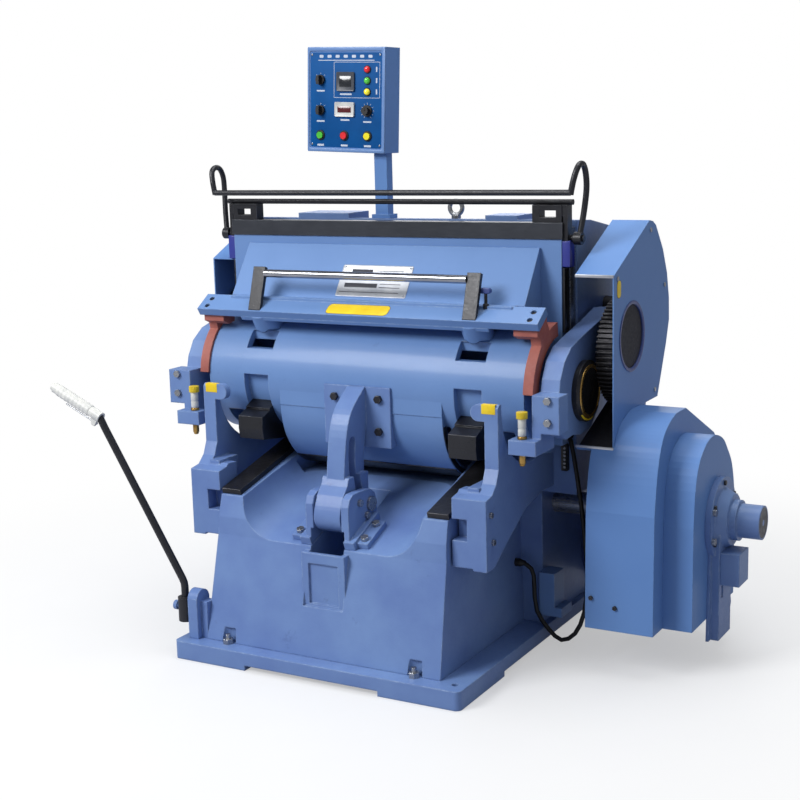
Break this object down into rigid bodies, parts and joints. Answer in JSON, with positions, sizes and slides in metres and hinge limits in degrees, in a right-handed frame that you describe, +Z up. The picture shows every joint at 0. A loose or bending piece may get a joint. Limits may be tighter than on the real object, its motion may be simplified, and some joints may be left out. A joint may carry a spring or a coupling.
{
  "type": "platen die cutting and creasing press",
  "caption": "Upright platen press for die cutting and creasing card: a rocking platen, drawbars, geared flywheel drive, guard and control box on a cast base.",
  "frame": {"origin": "middle of the plinth at floor level, the centre of the four anchor bolts", "axes": "+X to the flywheel side, +Y from the operator to the back, +Z up"},
  "size_m": [2.1492, 1.3, 1.8882],
  "materials": {
    "paint": "glossy light steel blue machine paint",
    "paint_shade": "machine paint on the covers",
    "bare_steel": "ground steel",
    "iron": "oiled cast iron",
    "black": "black enamel",
    "strip": "dark grey enamel",
    "chrome": "polished",
    "primer": "red oxide primer",
    "brass": "polished brass with a yellow cap",
    "grip": "white plastic",
    "cable": "black jacket",
    "lens": "coloured lenses",
    "green": "green cap",
    "red": "red cap",
    "yellow": "yellow cap",
    "knob": "black knob"
  },
  "bodies": {
    "frame": {"plinth": "paint", "base_casting": "paint", "rocker_rails": "iron", "main_body": "paint", "bed_plate": "bare_steel", "die_chase": "iron", "guide_bracket_left": "paint", "guide_bracket_right": "paint", "clevises": "paint", "guide_pin": "bare_steel", "gear_cover_right": "paint_shade", "gear_cover_left": "paint_shade", "flywheel_cover": "paint_shade", "clutch_cover": "paint_shade", "outboard_bearing": "paint", "brush_box": "paint", "control_post": "paint", "control_box": "paint", "lamps": "lens", "motor": "paint_shade", "lever_bracket": "paint", "fixed_bolts": "bare_steel", "cable": "cable", "cable_gland": "knob", "junction_box": "paint"},
    "platen": {"platen_plate": "paint", "platen_strip": "strip", "back_panel": "paint", "barrel": "paint", "cross_beam": "paint", "beam_supports": "primer", "rod_brackets": "black", "cross_rod": "chrome", "rocker_shoes": "iron", "guide_arm": "paint", "platen_bolts": "bare_steel", "guard_mounts": "black"},
    "shaft": {"barrel_shaft": "bare_steel"},
    "drawbars": {"drawbar_left": "paint", "drawbar_right": "paint", "bearing_caps": "black", "drawbar_bolts": "bare_steel", "oilers": "brass"},
    "guard": {"guard_frame": "black"},
    "lever": {"hand_lever": "black", "lever_grip": "grip"},
    "trigger": {"lever_trigger": "bare_steel"},
    "bull_gears": {"bull_gear_right": "iron", "bull_gear_left": "iron"},
    "pinion": {"pinion_shaft": "iron"},
    "counter": {"counter_shaft": "iron"},
    "flywheel_set": {"flywheel_shaft": "bare_steel", "flywheel": "paint_shade"},
    "motor_rotor": {"motor_pulley": "iron"},
    "selector_a": {"selector_upper": "knob"},
    "selector_b": {"selector_lower": "knob"},
    "knob": {"rotary_knob": "knob"},
    "push_green": {"button_green": "green"},
    "push_red": {"button_red": "red"},
    "push_yellow": {"button_yellow": "yellow"}
  },
  "joints": [
    {"name": "shaft_travel", "type": "slide", "parent": "frame", "child": "shaft", "axis": [0, -0.9703, -0.2419], "range_m": [0, 0.06807]},
    {"name": "platen_swing", "type": "hinge", "parent": "shaft", "child": "platen", "pos_m": [0, -0.12, 0.843], "axis": [1, 0, 0], "range_deg": [0, 18]},
    {"name": "drawbar_swing", "type": "hinge", "parent": "shaft", "child": "drawbars", "pos_m": [0, -0.12, 0.843], "axis": [1, 0, 0], "range_deg": [-2.9, 0]},
    {"name": "guard_tilt", "type": "hinge", "parent": "platen", "child": "guard", "pos_m": [0, -0.078, 1.29], "axis": [1, 0, 0], "range_deg": [-25, 0]},
    {"name": "lever_swing", "type": "hinge", "parent": "frame", "child": "lever", "pos_m": [-0.5, -0.584, 0.15], "axis": [1, 0, 0], "range_deg": [-8, 25]},
    {"name": "trigger_pull", "type": "hinge", "parent": "lever", "child": "trigger", "pos_m": [-0.83099, -0.576, 0.71634], "axis": [0, 1, 0], "range_deg": [0, 4.5], "stiffness_Nm_per_rad": 2, "springref_deg": -4.58},
    {"name": "flywheel_turn", "type": "hinge", "parent": "frame", "child": "flywheel_set", "pos_m": [0, 0.105, 0.433], "axis": [1, 0, 0], "continuous": true},
    {"name": "bull_turn", "type": "hinge", "parent": "frame", "child": "bull_gears", "pos_m": [0, 0.07454, 0.93811], "axis": [1, 0, 0], "continuous": true},
    {"name": "pinion_turn", "type": "hinge", "parent": "frame", "child": "pinion", "pos_m": [0, 0.23837, 1.05282], "axis": [1, 0, 0], "continuous": true},
    {"name": "counter_turn", "type": "hinge", "parent": "frame", "child": "counter", "pos_m": [0, 0.28833, 0.70135], "axis": [1, 0, 0], "continuous": true},
    {"name": "motor_turn", "type": "hinge", "parent": "frame", "child": "motor_rotor", "pos_m": [0, 0.43, 0.215], "axis": [1, 0, 0], "continuous": true},
    {"name": "selector_upper_turn", "type": "hinge", "parent": "frame", "child": "selector_a", "pos_m": [-0.28986, -0.005, 1.78319], "axis": [0, 1, 0], "range_deg": [-45, 45]},
    {"name": "selector_lower_turn", "type": "hinge", "parent": "frame", "child": "selector_b", "pos_m": [-0.29406, -0.005, 1.68701], "axis": [0, 1, 0], "range_deg": [-45, 45]},
    {"name": "knob_turn", "type": "hinge", "parent": "frame", "child": "knob", "pos_m": [-0.11877, -0.005, 1.67935], "axis": [0, 1, 0], "range_deg": [-150, 150]},
    {"name": "button_green_press", "type": "slide", "parent": "frame", "child": "push_green", "axis": [0, 1, 0], "range_m": [0, 0.005], "stiffness_N_per_m": 400, "springref_m": -0.002},
    {"name": "button_red_press", "type": "slide", "parent": "frame", "child": "push_red", "axis": [0, 1, 0], "range_m": [0, 0.005], "stiffness_N_per_m": 400, "springref_m": -0.002},
    {"name": "button_yellow_press", "type": "slide", "parent": "frame", "child": "push_yellow", "axis": [0, 1, 0], "range_m": [0, 0.005], "stiffness_N_per_m": 400, "springref_m": -0.002}
  ],
  "couplings": [
    {"joint": "shaft_travel", "follows": "platen_swing", "m_per_rad": 0.21667},
    {"joint": "drawbar_swing", "follows": "platen_swing", "ratio": -0.1594},
    {"joint": "bull_turn", "follows": "flywheel_turn", "ratio": -0.032967},
    {"joint": "pinion_turn", "follows": "flywheel_turn", "ratio": 0.13187},
    {"joint": "counter_turn", "follows": "flywheel_turn", "ratio": -0.16071},
    {"joint": "motor_turn", "follows": "flywheel_turn", "ratio": 4.6667}
  ]
}
